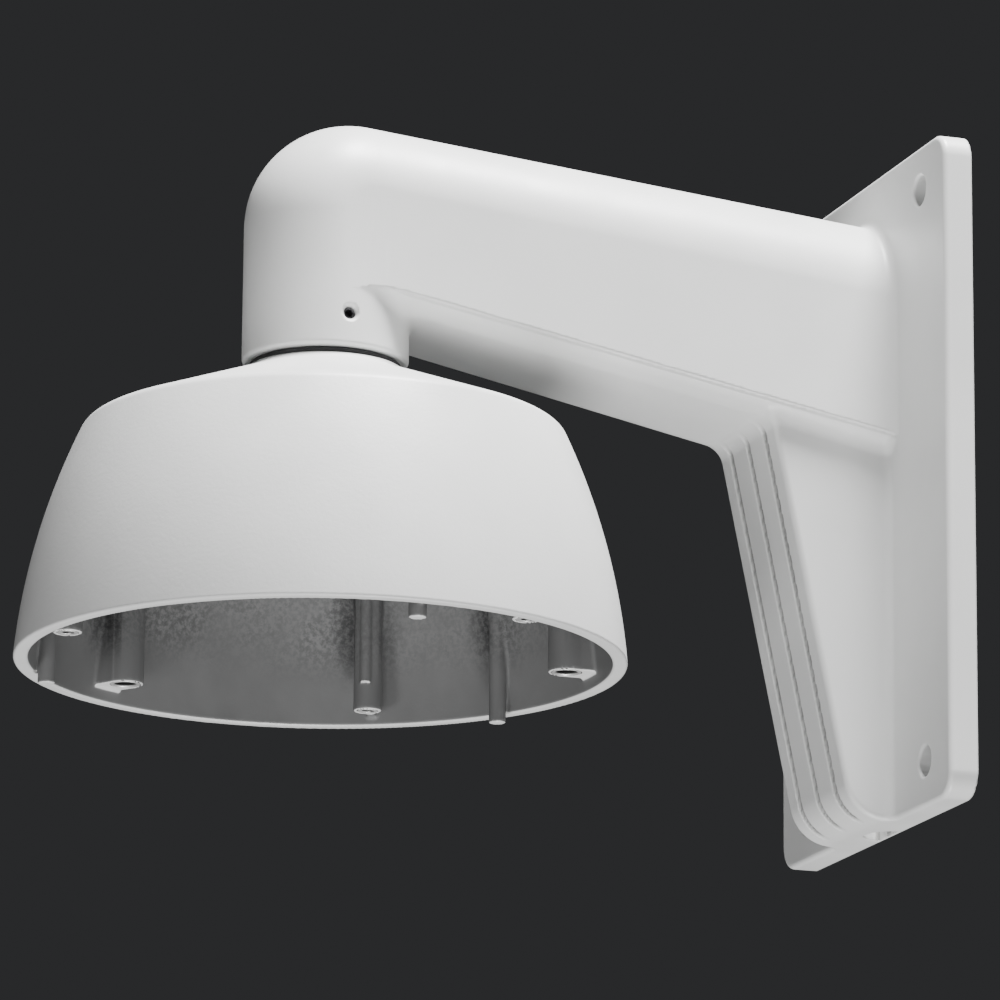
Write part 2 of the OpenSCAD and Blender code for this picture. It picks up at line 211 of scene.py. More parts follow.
def both(a, b, r, lean=0.0):
    """What a and b share, with the edge rounded to radius r. lean is the dot product of their
    outward directions, 0 where they stand square to each other."""
    u, v = a + r, b + r
    rounded = np.sqrt(np.maximum(u * u + v * v - 2 * lean * u * v, 0) / (1 - lean * lean)) - r
    return np.where((u > lean * v) & (v > lean * u), rounded, np.maximum(a, b))


def either(a, b, r, lean=0.0):
    """a and b together, with a fillet of radius r between them."""
    return -both(-a, -b, r, lean)


def less(a, b, r, lean=0.0):
    """a without b, with the edge rounded to radius r."""
    return both(a, -b, r, lean)


def rounded_rect(x, z, half_w, half_h, r):
    dx, dz = np.abs(x) - half_w + r, np.abs(z) - half_h + r
    return length(np.maximum(dx, 0), np.maximum(dz, 0)) + np.minimum(np.maximum(dx, dz), 0) - r


def fade(t):
    t = np.clip(t, 0, 1)
    return t * t * (3 - 2 * t)


def arm_tube(x, reach, z):
    """The arm, elbow and head as one tube that is round above its centreline and has straight
    sides below it."""
    along = (arm_end_reach - reach) * math.cos(tilt) + (arm_end_z - z) * math.sin(tilt)
    above = (arm_end_reach - reach) * math.sin(tilt) + (z - arm_end_z) * math.cos(tilt)
    round_bend = length(reach - bend_reach, z - bend_z) - bend_r
    height = np.where(along > 0, above, np.where(z < bend_z, reach - head_reach, round_bend))
    radius = head_r + (arm_wall_r - head_r) * np.maximum(along, 0) / arm_len
    return length(x, np.maximum(height, 0)) - radius


def arm_underside(x, reach, z):
    """Everything above the arm's belly: straight sides down to the side edge, then a small step
    in, a slanted strip and the belly. The belly's own distance comes second."""
    half = arm_wall_r + (head_r - arm_wall_r) * np.clip(reach / arm_end_reach, 0, 1)
    edge = (side_edge_z + belly_slope * reach - z) / belly_len
    belly = edge - belly_drop / belly_len
    side = np.abs(x) - half
    strip = (side + edge_step) * belly_drop + edge * belly_len * belly_bevel
    lower = both(strip / strip_len, belly, belly_edge_r, belly_bevel / strip_len)
    lower = both(lower, side + edge_step, edge_step_r)
    above = np.minimum(both(side, edge, side_edge_r), lower)
    fading = fade((head_reach - crease_gap - reach) / crease_run)
    crease = length(side - crease_in, edge - crease_up) - crease_r * fading
    return less(above, crease, crease_edge), belly


def gusset_front(reach, z):
    return (reach - gusset_reach - gusset_slope * z) / front_len


def gusset_outline(reach, z):
    return both(gusset_front(reach, z), -plate_half_h - z, foot_r, gusset_slope / front_len)


def bracket_skin(x, reach, z):
    """The bracket's outside before its grooves are cut."""
    tube = arm_tube(x, reach, z)
    above, _ = arm_underside(x, reach, z)
    head = both(length(x, reach - head_reach) - head_r, head_z - z, head_edge)
    arm = np.maximum(tube, either(above, head, head_fillet))
    front, side = gusset_outline(reach, z), np.abs(x) - gusset_half_w
    gusset = both(np.maximum(front, z - bend_z + gusset_sunk), side, gusset_edge)
    # the fillet under the arm is larger at the front of the gusset than along its sides
    to_front = fade(0.5 + (front - side) / gusset_front_fillet)
    radius = gusset_side_fillet + (gusset_front_fillet - gusset_side_fillet) * to_front
    body = either(arm, gusset, radius, gusset_front_lean * to_front)
    plate = rounded_rect(x, z, plate_half_w, plate_half_h, plate_corner)
    body = either(body, both(plate, reach - plate_t, plate_edge), plate_fillet)
    return np.maximum(body, -plate_half_h - z)


def bracket_outside(x, reach, z):
    """The skin with its three grooves, which come up out of it at both ends."""
    body = outside = bracket_skin(x, reach, z)
    _, belly = arm_underside(x, reach, z)
    at_top = fade((belly + groove_top) / groove_top_run)
    at_foot = fade((reach - groove_foot) / groove_run)
    at_gusset = fade((gusset_reach + groove_arm - reach) / groove_run)
    open_here = np.minimum(np.minimum(at_top, at_foot), at_gusset)
    depth = -groove_lift + (groove_depth + groove_lift) * open_here
    for i in (-1, 0, 1):
        across = np.abs(x - i * groove_pitch) - groove_half_w
        body = less(body, both(across, -outside - depth, groove_floor_r), groove_lip_r)
    return body


def cable_space(x, reach, z):
    """The hollow through the arm, the head and the gusset."""
    _, belly = arm_underside(x, reach, z)
    duct = np.maximum(arm_tube(x, reach, z), belly)
    duct = np.maximum(duct, np.abs(x) - head_r + duct_narrower) + WALL
    duct = np.maximum(duct, np.minimum(thread_top_z - z, reach - head_reach + head_r + WALL))
    gusset = np.maximum(gusset_front(reach, z), -plate_half_h - z) + WALL
    gusset = np.maximum(gusset, np.abs(x) - gusset_half_w + WALL)
    return either(duct, np.maximum(gusset, -belly - gusset_sunk), duct_fillet)


def plate_pocket(x, reach, z, bolts):
    """The hollow in the plate's back, round its bolt bosses and two cross ribs."""
    half_w, half_h = plate_half_w - pocket_rim, plate_half_h - pocket_rim
    pocket = both(rounded_rect(x, z, half_w, half_h, pocket_corner), reach - pocket_depth, 1.0)
    pocket = less(pocket, bolts - bolt_boss_r, 1.0)
    ribs = np.abs(np.abs(z) - plate_half_h / 3) - pocket_rib_half_w
    return less(pocket, ribs, pocket_edge)


def gasket_track(x, z):
    """The gasket's outer and inner outline, and the gap that it leaves round the notch."""
    outer, inner = (
        rounded_rect(x, z, plate_half_w - in_by, plate_half_h - in_by, plate_corner - in_by)
        for in_by in (gasket_outer_in, gasket_inner_in))
    return outer, inner, notch_r + gasket_clear - np.abs(x) - FAR * (z > 0)


def cable_notch(x, reach, z):
    """The half-round space for a cable from below, closed at the wall by a thin skin."""
    notch = np.maximum(length(x, reach) - notch_r, z + plate_half_h - 2 * WALL)
    return np.maximum(notch, notch_skin - reach)


def bracket(x, y, z):
    reach = -y
    body = less(bracket_outside(x, reach, z), cable_space(x, reach, z), duct_edge)
    bolts = length(np.abs(x) - bolt_x, np.abs(z) - bolt_z)
    body = less(body, plate_pocket(x, reach, z, bolts), pocket_edge)
    body = less(body, bolts - bolt_r, bolt_edge)
    body = both(body, -reach, back_edge)
    outer, inner, gap = gasket_track(x, z)
    seat = np.maximum(np.maximum(outer, -inner), reach - gasket_high[1] + gasket_low[1])
    body = less(body, np.maximum(seat, gap), seat_edge)
    body = less(body, cable_notch(x, reach, z), notch_edge)
    bore = np.maximum(length(x, reach - head_reach) - head_bore_r, z - thread_top_z - 1)
    body = less(body, bore, bore_edge)
    hole = length(reach - head_reach, z - set_screw_z) - set_hole_r
    hole = np.maximum(hole - np.clip(x - head_r + 0.9, 0, 1.0), set_hole_start - x)
    return less(body, hole, set_hole_edge)


def cap_side(rho, z):
    return length(rho - side_centre_r, z - side_centre_z) - side_arc_r


def cap_top(rho, z):
    return (z - shoulder_z - (shoulder_r - rho) * top_slope) / top_len


def cap_outside(rho, z):
    """The bell and the collar that meets the head."""
    bell = both(cap_side(rho, z), cap_top(rho, z), shoulder_edge, shoulder_lean)
    collar = both(rho - collar_r, z - collar_z, collar_edge)
    return either(bell, collar, collar_fillet, top_slope / top_len)


def cap_cavity(rho, z):
    """The space in the bell, round the hub that the neck goes through."""
    space = both(cap_side(rho, z) + WALL, cap_top(rho, z) + WALL, shoulder_inner_edge,
                 shoulder_lean)
    return less(space, np.maximum(rho - hub_r, hub_z - z), hub_edge)


def columns():
    """Angle, radius of the circle, radius, end height and half the web's width of each column
    inside the cap: three posts, three bosses for inserts and three for bushes."""
    for i in range(3):
        turn = math.radians(post_angle + 120 * i)
        yield turn, post_circle_r, post_r, rim_z - post_drop, 0
        yield (turn + thread_turn, screw_circle_r, thread_boss_r, rim_z + thread_boss_lift,
               thread_web)
        yield turn + bush_turn, screw_circle_r, bush_boss_r, rim_z + bush_boss_lift, bush_boss_r


def turned(angle, x, dy):
    """How far a place lies out from the cap's axis in one direction, and across it."""
    out = x * math.cos(angle) + dy * math.sin(angle)
    return out, dy * math.cos(angle) - x * math.sin(angle)


def cap_columns(x, y, z):
    """The columns with their webs, the rib in front of each insert's boss, and the lug of the
    anchor screw."""
    dy = y + head_reach
    inside = np.full(np.broadcast(x, y, z).shape, FAR)
    for angle, circle, r, end_z, web in columns():
        out, across = turned(angle, x, dy)
        column = length(out - circle, across) - r
        if web:
            column = either(column, np.maximum(np.abs(across) - web, circle - out), web_fillet)
        inside = np.minimum(inside, both(column, end_z - z, column_edge))
        if r == thread_boss_r:
            rib = length(out - circle + r, across) - front_rib_r
            inside = either(inside, np.maximum(rib, rim_z + front_rib_lift - z), rib_fillet)
    lug = both(length(x - lug_x, y - lug_y) - lug_r, anchor_washer_high[2] - z, lug_edge)
    return np.minimum(inside, lug)


def bored(shell, x, y, z):
    """The cap with its holes: pockets for inserts and bushes, the neck's bore and the anchor
    screw's hole."""
    dy = y + head_reach
    for i in range(3):
        turn = math.radians(post_angle + 120 * i)
        for angle, r, lift, deep in (
            (turn + thread_turn, insert_r, thread_boss_lift, insert_len),
            (turn + bush_turn, bush_r, bush_boss_lift, bush_len),
        ):
            at_x, at_y = screw_circle_r * math.cos(angle), screw_circle_r * math.sin(angle)
            pocket = np.maximum(length(x - at_x, dy - at_y) - r, z - rim_z - lift - deep)
            shell = less(shell, pocket, 0.25)
    shell = less(shell, length(x, dy) - neck_r, 0.5)
    screw = np.maximum(length(x - lug_x, y - lug_y) - m4_r, z - anchor_high[2])
    return less(shell, screw, 0.2)


def cap(x, y, z):
    rho = length(x, y + head_reach)
    outside = cap_outside(rho, z)
    shell = less(both(outside, rim_z - z, rim_edge), cap_cavity(rho, z), mouth_edge)
    within = np.maximum(cap_side(rho, z), cap_top(rho, z)) + WALL / 2
    inside = np.maximum(cap_columns(x, y, z), np.maximum(within, z - collar_z))
    shell = either(shell, inside, column_fillet)
    shell = np.maximum(shell, np.where(z > rim_z + 1, outside, -9.0))
    return bored(shell, x, y, z)


# ---------------------------------------------------------------- meshes


def spaced(*stretches):
    """Grid places along one axis, from stretches of (start, end, step)."""
    coarse = 1.0
    places = []
    for start, end, step in stretches:
        count = max(2, round((end - start) / (step * coarse)))
        places += list(np.linspace(start, end, count, endpoint=False))
    return np.array(places + [stretches[-1][1]])


def crossings(values, grid, cells):
    """The middle of the places where the surface crosses each cell's twelve edges."""
    total, hits = np.zeros((len(cells), 3)), np.zeros(len(cells))
    for axis in range(3):
        first, second = (axis + 1) % 3, (axis + 2) % 3
        for a in (0, 1):
            for b in (0, 1):
                low = cells.copy()
                low[:, first] += a
                low[:, second] += b
                high = low.copy()
                high[:, axis] += 1
                v0, v1 = values[tuple(low.T)], values[tuple(high.T)]
                cross = (v0 < 0) != (v1 < 0)
                share = np.where(cross, v0 / np.where(cross, v0 - v1, 1), 0)[:, None]
                p0 = np.stack([grid[k][low[:, k]] for k in range(3)], 1)
                p1 = np.stack([grid[k][high[:, k]] for k in range(3)], 1)
                total += np.where(cross[:, None], p0 + share * (p1 - p0), 0)
                hits += cross
    return total / hits[:, None]


def slope(shape, points, h=0.02):
    """Direction and steepness in which the shape's distance grows at each point."""
    parts = []
    for axis in range(3):
        step = np.zeros(3)
        step[axis] = h
        parts.append((shape(*(points + step).T) - shape(*(points - step).T)) / (2 * h))
    return np.stack(parts, 1)


def surface(shape, grid):
    """Points and quads of the surface where the shape is zero: one point in each grid cell that
    the surface crosses, moved onto the true surface."""
    near = [g.astype(np.float32) for g in grid]
    values = shape(near[0][:, None, None], near[1][None, :, None], near[2][None, None, :])
    inside = values < 0
    cells_n = np.array(inside.shape) - 1
    count = np.zeros(cells_n, np.uint8)
    for corner in np.ndindex(2, 2, 2):
        count += inside[tuple(slice(c, c + n) for c, n in zip(corner, cells_n))]
    crossed = (count > 0) & (count < 8)
    cells = np.argwhere(crossed)
    index = np.full(cells_n, -1, np.int64)
    index[crossed] = np.arange(len(cells))
    points = crossings(values, grid, cells)
    quads = []
    for axis in range(3):
        first, second = np.eye(3, dtype=int)[(axis + 1) % 3], np.eye(3, dtype=int)[(axis + 2) % 3]
        low = inside[tuple(slice(0, n) for n in cells_n)]
        high = np.roll(inside, -1, axis)[tuple(slice(0, n) for n in cells_n)]
        edges = np.argwhere(low != high)
        edges = edges[(edges @ first > 0) & (edges @ second > 0)]
        ring = [edges - first - second, edges - second, edges, edges - first]
        quad = np.stack([index[tuple(c.T)] for c in ring], 1)
        outward = low[tuple(edges.T)]
        quads.append(np.where(outward[:, None], quad, quad[:, ::-1]))
    quads = np.concatenate(quads)
    spacing = min(float(np.diff(g).min()) for g in grid)
    for _ in range(3):
        steep = slope(shape, points)
        size = np.maximum((steep * steep).sum(1), 0.2)
        move = -(shape(*points.T) / size)[:, None] * steep
        points = points + np.clip(move, -spacing / 2, spacing / 2)
    normals = slope(shape, points)
    normals /= np.maximum(np.linalg.norm(normals, axis=1), 1e-9)[:, None]
    return points, quads, normals


def piece(name, points, quads, body, nodes, normals=None):
    """A mesh object of quads, riding on a body in place of CAD nodes."""
    mesh = bpy.data.meshes.new(name)
    mesh.vertices.add(len(points))
    mesh.vertices.foreach_set("co", (points * MM).astype(np.float32).ravel())
    mesh.loops.add(4 * len(quads))
    mesh.loops.foreach_set("vertex_index", quads.astype(np.int32).ravel())
    mesh.polygons.add(len(quads))
    mesh.polygons.foreach_set("loop_start", np.arange(0, 4 * len(quads), 4, dtype=np.int32))
    mesh.update(calc_edges=True)
    mesh.validate()
    mesh.polygons.foreach_set("use_smooth", np.ones(len(mesh.polygons), bool))
    if normals is not None:
        mesh.normals_split_custom_set_from_vertices([tuple(n) for n in normals])
    obj = bpy.data.objects.new(name, mesh)
    bpy.context.scene.collection.objects.link(obj)
    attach(obj, body)
    if nodes:
        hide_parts(*nodes)
    return obj


def add_attribute(obj, name, values):
    layer = obj.data.attributes.new(name, "FLOAT", "POINT")
    layer.data.foreach_set("value", np.clip(values, -50, 50).astype(np.float32))


def solid(name, shape, grid, body, nodes, feel=1.2):
    """A piece with the shape's surface. Its points also know how near they are to an outward
    edge ("edge") and to an inward corner ("corner"), felt out over feel millimetres."""
    points, quads, normals = surface(shape, grid)
    obj = piece(name, points, quads, body, nodes, normals)
    add_attribute(obj, "edge", 1 + shape(*(points - feel * normals).T) / feel)
    add_attribute(obj, "corner", 1 - shape(*(points + feel * normals).T) / feel)
    return obj


def node_grid(name, step):
    """A grid round one CAD node's box."""
    coarse = 1.0
    return [spaced((low - 0.7 * step * coarse, high + 0.7 * step * coarse, step))
            for low, high in zip(*node_box(name))]


def points_of(obj):
    """The x, y and z of an object's points, in millimetres."""
    places = np.empty(3 * len(obj.data.vertices), np.float32)
    obj.data.vertices.foreach_get("co", places)
    return (places.reshape(-1, 3).astype(float) / MM).T


def sunk_in_grooves(x, y, z):
    """1 deep in one of the grooves, 0 outside them."""
    sunk = -bracket_skin(x, -y, z)
    across = np.abs(x - groove_pitch * np.clip(np.round(x / groove_pitch), -1, 1))
    here = (across < groove_half_w + 0.3) & (sunk < groove_depth + 0.2)
    return here * fade((sunk - 0.2) / 0.7)


def cast_bracket():
    x = spaced((-60.6, -27.6, 1.1), (-27.6, -20.1, 0.5), (-20.1, 20.1, 0.6), (20.1, 27.6, 0.5),
               (27.6, 60.6, 1.1))
    y = -spaced((-0.8, 10, 0.6), (10, 50, 0.8), (50, 140, 1.1), (140, 160, 0.8),
                (160, 166.4, 0.4), (166.4, 186.2, 0.8))[::-1]
    z = spaced((-92, 9.6, 0.8), (9.6, 44.8, 0.5), (44.8, 93.6, 0.8))
    obj = solid("wall_bracket_casting", bracket, (x, y, z), "bracket",
                ["wall_bracket"])
    # the groove attribute masks the painted shade in the grooves
    add_attribute(obj, "groove", sunk_in_grooves(*points_of(obj)))
    return obj


def cast_cap():
    x = spaced((-82.2, -65.2, 0.8), (-65.2, -53.7, 0.5), (-53.7, -8.2, 0.8), (-8.2, 8.3, 0.5),
               (8.3, 53.8, 0.8), (53.8, 67.8, 0.5), (67.8, 82.2, 0.8))
    y = spaced((-82.2, -75.2, 0.8), (-75.2, -64.7, 0.5), (-64.7, -42.7, 0.8), (-42.7, -27.7, 0.5),
               (-27.7, 28.3, 0.8), (28.3, 43.3, 0.5), (43.3, 64.3, 0.8), (64.3, 75.3, 0.5),
               (75.3, 82.2, 0.8))
    z = spaced((-60.6, -59.0, 0.8), (-59.0, -54.2, 0.4), (-54.2, 24.8, 0.8))
    grid = (x, y - head_reach, z)
    return solid("pendant_cap_casting", cap, grid, "cap", ["pendant_cap"])


casting = cast_bracket()
cap_casting = cast_cap()

# ---------------------------------------------------------------- small pieces


def ring(rho, z, inner_r, outer_r, low, high, r):
    """A tube about the z axis with its edges rounded to r."""
    wall = both(rho - outer_r, inner_r - rho, r)
    return both(wall, np.maximum(low - z, z - high), r)


def thread(x, y, z, pitch, deep):
    """How far a right-hand screw thread's flank lies below its crest at each place."""
    turns = np.arctan2(y, x) / (2 * math.pi)
    ramp = np.abs(2 * np.mod(z / pitch - turns, 1) - 1)
    return deep * fade(1.3 * ramp - 0.15)


def neck(x, y, z):
    dy = y + head_reach
    rho = length(x, dy)
    end = np.maximum(neck_low[2] - z, z - neck_high[2])
    crest = neck_r - 0.7 * np.clip(end + 3, 0, 3)
    outside = np.minimum(neck_r - thread(x, dy, z, pipe_pitch, pipe_depth), crest)
    wall = np.maximum((rho - outside) * 0.8, neck_bore_r - rho)
    return both(wall, end, 0.5)


def locknut(x, y, z):
    dy = y + head_reach
    rho = length(x, dy)
    flats = np.full(np.shape(rho), -FAR)
    for i in range(3):
        a = math.radians(30 + 60 * i)
        flats = np.maximum(flats, np.abs(x * math.cos(a) + dy * math.sin(a)) - nut_flats / 2)
    end = np.maximum(nut_low[2] - z, z - nut_high[2])
    # the corners are chamfered at 30 degrees
    chamfer = (rho - nut_flats / 2 - 0.6) * 0.5 + end * 0.866
    body = both(both(flats, end, 0.4), chamfer, 0.3)
    return less(body, rho - neck_r + 0.6 * np.clip(-end - 1.2, -1.2, 0), 0.3)


def washer(x, y, z):
    return ring(length(x, y + head_reach), z, neck_r, washer_high[0], washer_low[2],
                washer_high[2], 0.45)


def seal(x, y, z):
    return ring(length(x, y + head_reach), z, neck_r + 0.15, seal_high[0], seal_low[2],
                seal_high[2], 0.7)


def gasket(x, y, z):
    outer, inner, gap = gasket_track(x, z)
    body = both(both(outer, -inner, 0.5), np.maximum(y - gasket_high[1], gasket_low[1] - y), 0.5)
    return both(body, gap, 0.5)


def lock_screw(x, y, z):
    dy, dz = y + head_reach, z - set_screw_z
    rho = length(dy, dz)
    r = (screw_high[1] - screw_low[1]) / 2
    tip = np.clip(x - screw_low[0], 0, 0.9)
    outside = np.minimum(r - thread(dy, dz, x, m4_pitch, m4_depth), r - 0.9 + tip)
    outside = np.minimum(outside, r - 0.35 + np.clip(screw_high[0] - x, 0, 0.35))
    body = np.maximum((rho - outside) * 0.8, np.maximum(screw_low[0] - x, x - screw_high[0]))
    socket = np.full(np.shape(rho), -FAR)
    for i in range(3):
        a = math.radians(30 + 60 * i)
        socket = np.maximum(socket, np.abs(dy * math.cos(a) + dz * math.sin(a)) - socket_half_w)
    return less(body, np.maximum(socket, screw_high[0] - socket_depth - x), 0.12)


def anchor(x, y, z):
    dx, dy = x - lug_x, y - lug_y
    rho = length(dx, dy)
    head_high = anchor_low[2] + anchor_head_h
    head_half = (anchor_high[0] - anchor_low[0]) / 2
    head = both(both(rho - head_half, anchor_low[2] - z, anchor_dome_r), z - head_high, 0.2)
    shank = m4_r - thread(dx, dy, z, m4_pitch, anchor_thread_depth)
    shank = np.maximum((rho - shank) * 0.8, np.maximum(head_high - 1 - z, z - anchor_high[2]))
    body = np.minimum(head, shank)
    u, v = turned(cross_turn, dx, dy)
    for a, b in ((u, v), (v, u)):
        slot = np.maximum(np.abs(a) - cross_half_len, np.abs(b) - cross_half_w)
        body = less(body, np.maximum(slot, z - anchor_low[2] - cross_depth), 0.12)
    return body


def anchor_ring(x, y, z):
    cx, cy = (anchor_washer_low[:2] + anchor_washer_high[:2]) / 2
    return ring(length(x - cx, y - cy), z, m4_r, anchor_washer_high[0] - cx,
                anchor_washer_low[2], anchor_washer_high[2], 0.2)


def sleeve(name, bore_r, pitch, mouth):
    """The shape of a threaded insert or a plain bush in its boss, open at both ends."""
    low, high = node_box(name)
    cx, cy = (low[:2] + high[:2]) / 2
    outer_r = (high[0] - low[0]) / 2

    def shape(x, y, z):
        dx, dy = x - cx, y - cy
        rho = length(dx, dy)
        end = np.maximum(low[2] - z, z - high[2])
        bore = bore_r + np.clip(end + mouth, 0, mouth) - rho
        if pitch:
            bore = (bore + thread(dx, dy, z, pitch, m4_depth) - m4_depth) * 0.8
        return both(both(rho - outer_r, end, 0.2), bore, 0.08)

    return shape


def small_pieces():
    axis_pieces = (
        ("neck_pipe", neck, "threaded_neck", 0.45, "cap", "neck_steel"),
        ("neck_nut", locknut, "neck_locknut", 0.5, "cap", "nut_steel"),
        ("neck_rubber_washer", washer, "neck_washer", 0.4, "cap", "black_rubber"),
        ("neck_o_ring", seal, "neck_seal", 0.35, "seal", "black_rubber"),
        ("plate_gasket", gasket, "wall_gasket", 0.5, "bracket", "black_rubber"),
        ("locking_screw", lock_screw, "set_screw", 0.12, "lock_screw", "black_steel"),
        ("anchor_pan_screw", anchor, "anchor_screw", 0.2, "cap", "screw_steel"),
        ("anchor_plain_washer", anchor_ring, "anchor_washer", 0.2, "cap", "screw_steel"),
    )
    made = {}
    for name, shape, node, step, body, slot in axis_pieces:
        made[name] = solid(name, shape, node_grid(node, step), body, [node], 0.4)
    for i in (1, 2, 3):
        for kind, bore_r, pitch, mouth in (("thread_insert", insert_bore_r, m4_pitch, 0.3),
                                           ("camera_bush", bush_bore_r, 0, 0.4)):
            node = f"{kind}_{i}"
            shape = sleeve(node, bore_r, pitch, mouth)
            grid = node_grid(node, 0.25)
            made[node] = solid(f"{node}_sleeve", shape, grid, "cap", [node], 0.3)
            add_attribute(made[node], "depth", points_of(made[node])[2] - node_box(node)[0][2])
    return made


small = small_pieces()

# ---------------------------------------------------------------- materials


class Nodes:
    """Builds one material: each call adds a node and returns its output."""

    def __init__(self, name):
        self.material = bpy.data.materials.new(name)
        self.material.use_nodes = True
        self.tree = self.material.node_tree
        self.shader = self.tree.nodes["Principled BSDF"]

    def wire(self, socket, value):
        if isinstance(value, bpy.types.NodeSocket):
            self.tree.links.new(value, socket)
        elif isinstance(value, tuple):
            socket.default_value = (*value, 1)
        else:
            socket.default_value = value

    def place(self):
        return self.tree.nodes.new("ShaderNodeTexCoord").outputs["Object"]

    def attribute(self, name):
        node = self.tree.nodes.new("ShaderNodeAttribute")
        node.attribute_name = name
        return node.outputs["Fac"]

    def stretch(self, vector, scale):
        node = self.tree.nodes.new("ShaderNodeMapping")
        self.tree.links.new(vector, node.inputs["Vector"])
        node.inputs["Scale"].default_value = scale
        return node.outputs["Vector"]

    def noise(self, size_mm, detail=3.0, rough=0.55, at=None):
        node = self.tree.nodes.new("ShaderNodeTexNoise")
        self.tree.links.new(at or self.place(), node.inputs["Vector"])
        node.inputs["Scale"].default_value = 1 / (size_mm * MM)
        node.inputs["Detail"].default_value = detail
        node.inputs["Roughness"].default_value = rough
        return node.outputs["Fac"]

    def sweep(self, value, from_low, from_high, to_low=0.0, to_high=1.0):
        """Carries one range of a value smoothly over to another."""
        node = self.tree.nodes.new("ShaderNodeMapRange")
        node.interpolation_type = "SMOOTHSTEP"
        for name, amount in (("Value", value), ("From Min", from_low), ("From Max", from_high),
                             ("To Min", to_low), ("To Max", to_high)):
            self.wire(node.inputs[name], amount)
        return node.outputs["Result"]

    def math(self, operation, a, b=0.0):
        node = self.tree.nodes.new("ShaderNodeMath")
        node.operation = operation
        self.wire(node.inputs[0], a)
        self.wire(node.inputs[1], b)
        return node.outputs["Value"]

    def mix(self, share, a, b):
        node = self.tree.nodes.new("ShaderNodeMix")
        node.data_type = "RGBA"
        self.wire(node.inputs["Factor"], share)
        self.wire(node.inputs[6], a)
        self.wire(node.inputs[7], b)
        return node.outputs[2]

    def bump(self, height, height_mm, strength=1.0, normal=None):
        node = self.tree.nodes.new("ShaderNodeBump")
        node.inputs["Strength"].default_value = strength
        node.inputs["Distance"].default_value = height_mm * MM
        self.tree.links.new(height, node.inputs["Height"])
        if normal is not None:
            self.tree.links.new(normal, node.inputs["Normal"])
        return node.outputs["Normal"]

    def finish(self, colour, roughness, normal=None, metallic=0.0, **others):
        self.wire(self.shader.inputs["Base Color"], colour)
        self.wire(self.shader.inputs["Roughness"], roughness)
        self.shader.inputs["Metallic"].default_value = metallic
        if normal is not None:
            self.tree.links.new(normal, self.shader.inputs["Normal"])
        for name, value in others.items():
            self.shader.inputs[name.replace("_", " ")].default_value = value
        return self.material


def coat_layers(make):
    """Colour, roughness and bump of the white powder coat: slight cloudiness, orange peel,
    painted shade in the corners, a painted highlight that makes the edges paler, and smoother
    edges."""
    cloud = make.noise(45, 4)
    colour = make.mix(make.sweep(cloud, 0.3, 0.7), (0.635, 0.638, 0.634), (0.675, 0.677, 0.672))
    corner = make.sweep(make.attribute("corner"), 0.15, 0.8)
    # painted shade: darker grey in the inward corners, broken up by noise
    painted_corner_shade = make.math("MULTIPLY", corner, make.sweep(make.noise(6, 4), 0.3, 0.7, 0.6, 0.9))
    colour = make.mix(painted_corner_shade, colour, (0.30, 0.30, 0.29))
    edge = make.sweep(make.attribute("edge"), 0.15, 0.8)
    # painted highlight: paler colour along outward edges
    colour = make.mix(make.math("MULTIPLY", edge, 0.35), colour, (0.74, 0.74, 0.73))
    specks = make.sweep(make.noise(1.3, 2, 0.7), 0.72, 0.78, 0.0, 0.12)
    colour = make.mix(specks, colour, (0.42, 0.41, 0.40))
    rough = make.sweep(make.noise(20, 5), 0.25, 0.75, 0.36, 0.5)
    rough = make.math("SUBTRACT", rough, make.math("MULTIPLY", edge, 0.08))
    peel = make.bump(make.noise(0.9, 2, 0.5), 0.018, 0.7)
    return colour, rough, make.bump(make.noise(7, 2), 0.05, 0.25, peel)


def bracket_coat(name):
    """The white coat, with painted shade darkening the gusset's grooves."""
    make = Nodes(name)
    colour, rough, normal = coat_layers(make)
    # painted shade: dark grey down in the grooves, broken up by noise
    painted_groove_shade = make.math("MULTIPLY", make.attribute("groove"),
                        make.sweep(make.noise(5, 3), 0.3, 0.7, 0.75, 0.95))
    colour = make.mix(painted_groove_shade, colour, (0.14, 0.14, 0.138))
    return make.finish(colour, rough, normal, Coat_Weight=0.08, Coat_Roughness=0.3)


def cap_coat(name):
    """White outside; inside, thin grey overspray that is even near the rim and speckled further
    in, with painted shadow beside the columns that grows darker further in."""
    make = Nodes(name)
    white, rough, normal = coat_layers(make)
    depth = make.attribute("depth")
    grain = make.noise(1.3, 4, 0.7)
    even = make.mix(make.sweep(make.noise(30, 3), 0.3, 0.7), (0.130, 0.131, 0.131),
                    (0.165, 0.166, 0.166))
    speckled = make.mix(make.sweep(grain, 0.36, 0.66), (0.085, 0.086, 0.086), (0.19, 0.19, 0.19))
    patches = make.sweep(make.noise(22, 3), 0.35, 0.65, 0.25, 0.9)
    deep = make.math("MULTIPLY", make.sweep(depth, 9, 26), patches)
    grey = make.mix(deep, even, speckled)
    # painted shadow beside the columns, growing darker further in
    shade = make.math("MULTIPLY", make.attribute("shade"), make.sweep(depth, 5, 26))
    spots = make.sweep(grain, 0.62, 0.36)
    shade = make.math("MULTIPLY", shade, make.math("ADD", make.math("MULTIPLY", spots, 0.5), 0.5))
    grey = make.mix(shade, grey, (0.028, 0.028, 0.029))
    inside = make.sweep(make.attribute("inside"), 0.3, 0.9)
    colour = make.mix(inside, white, grey)
    rough = make.math("ADD", rough, make.math("MULTIPLY", inside, 0.2))
    grit = make.bump(grain, 0.1, 0.4, normal)
    return make.finish(colour, rough, grit, Coat_Weight=0.05, Coat_Roughness=0.35)


